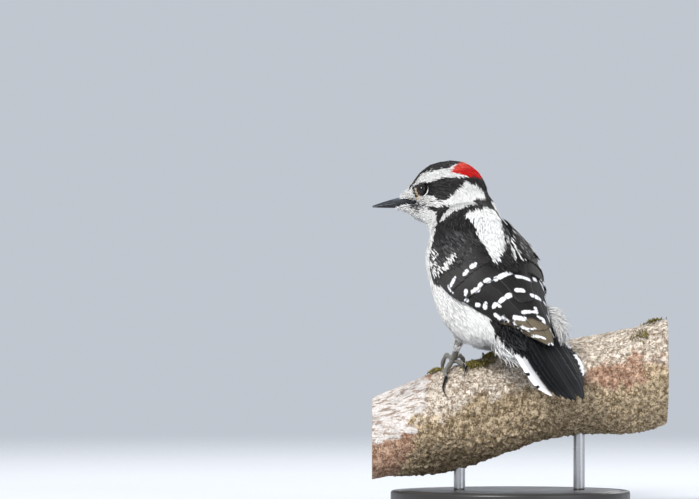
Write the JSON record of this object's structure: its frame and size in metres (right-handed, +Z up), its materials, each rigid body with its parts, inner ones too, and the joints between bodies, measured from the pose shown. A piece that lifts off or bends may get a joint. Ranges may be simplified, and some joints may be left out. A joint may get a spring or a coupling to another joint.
{
  "type": "downy woodpecker model on a branch perch",
  "caption": "Still life-size model of a male downy woodpecker gripping a short cut branch, looking over its left shoulder side, on a plain round display stand.",
  "frame": {"origin": "centre of the stand's flat underside, on the surface it stands on", "axes": "+Z up, +X along the branch towards its raised end, -Y towards the viewer the bird's back is turned to"},
  "size_m": [0.128, 0.1063, 0.1507],
  "materials": {
    "feathers_head": "short soft feathers: black and white stripes with a red patch on the nape",
    "feathers_neck": "short soft feathers: black hindneck, white sides and throat",
    "feathers_body": "soft loose feathers: white breast, belly and back stripe, black shoulders",
    "feathers_wing": "smooth vaned feathers: black with rows of white spots",
    "feathers_tail": "stiff pointed feathers: black middle, white outer feathers with black bars",
    "bill_horn": "slate grey horn, satin",
    "eye_gloss": "dark brown, wet gloss",
    "foot_scales": "greenish grey scales, satin",
    "claw_horn": "black horn, satin gloss",
    "bark": "weathered pale wood with cream and olive lichen, matt",
    "stand_lacquer": "plain warm grey lacquer, satin",
    "stand_steel": "plain brushed steel"
  },
  "bodies": {
    "root": {"head": "feathers_head", "neck": "feathers_neck", "trunk": "feathers_body", "leg_left": "feathers_body", "leg_right": "feathers_body", "wing_left": "feathers_wing", "wing_right": "feathers_wing", "tail": "feathers_tail", "bill_upper": "bill_horn", "bill_lower": "bill_horn", "eye_left": "eye_gloss", "eye_right": "eye_gloss", "foot_left": "foot_scales", "foot_right": "foot_scales", "perch": "bark", "stand_base": "stand_lacquer", "stand_rod_left": "stand_steel", "stand_rod_right": "stand_steel", "claw_left_hind_outer": "claw_horn", "claw_left_hind_inner": "claw_horn", "claw_left_front_outer": "claw_horn", "claw_left_front_inner": "claw_horn", "claw_right_hind_outer": "claw_horn", "claw_right_hind_inner": "claw_horn", "claw_right_front_outer": "claw_horn", "claw_right_front_inner": "claw_horn"}
  },
  "joints": []
}
